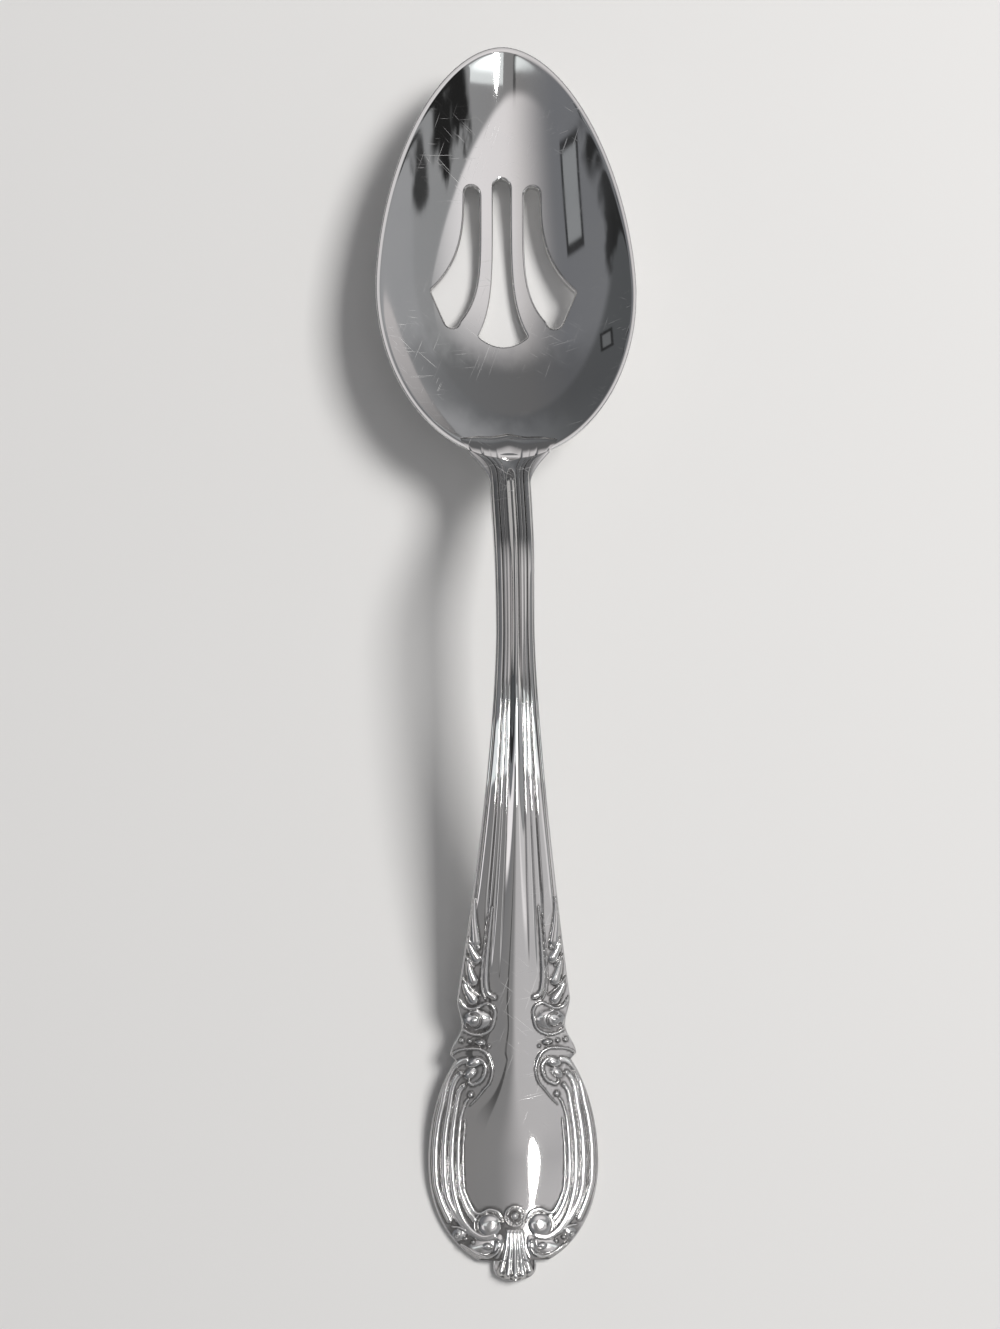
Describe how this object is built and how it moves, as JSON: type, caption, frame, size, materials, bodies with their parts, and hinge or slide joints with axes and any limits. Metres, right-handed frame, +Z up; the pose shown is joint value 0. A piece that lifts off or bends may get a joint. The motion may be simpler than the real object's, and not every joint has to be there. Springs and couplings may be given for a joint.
{
  "type": "slotted serving spoon",
  "caption": "Serving spoon with a dished, egg-shaped bowl pierced by flared drain slots, an arched reeded stem and a paddle handle with leaf, scroll and shell relief.",
  "frame": {"origin": "middle of the spoon's length and width, on the table that it lies on", "axes": "+Y along the spoon towards the bowl's tip, +X across it to the right of the relief's face, +Z up out of the bowl"},
  "size_m": [0.0454, 0.213, 0.023],
  "materials": {
    "polished_steel": "mirror-polished stainless steel with fine scratches from use",
    "stem_steel": "mirror-polished stainless steel, reeds with darker grooves",
    "relief_steel": "mirror-polished stainless steel relief with darker, slightly rougher grooves"
  },
  "bodies": {
    "root": {"bowl": "polished_steel", "neck": "stem_steel", "heel_fan": "polished_steel", "heel_tongue": "polished_steel", "stem": "stem_steel", "blade": "stem_steel", "husk_left": "relief_steel", "husk_right": "relief_steel", "upper_scroll_left": "relief_steel", "upper_scroll_right": "relief_steel", "horn_left": "relief_steel", "horn_right": "relief_steel", "shoulder_scroll_left": "relief_steel", "shoulder_scroll_right": "relief_steel", "frame_left": "relief_steel", "frame_right": "relief_steel", "end_boss_left": "relief_steel", "end_boss_right": "relief_steel", "end_scroll_left": "relief_steel", "end_scroll_right": "relief_steel", "ring_bead": "relief_steel", "shell_tip": "relief_steel"}
  },
  "joints": []
}
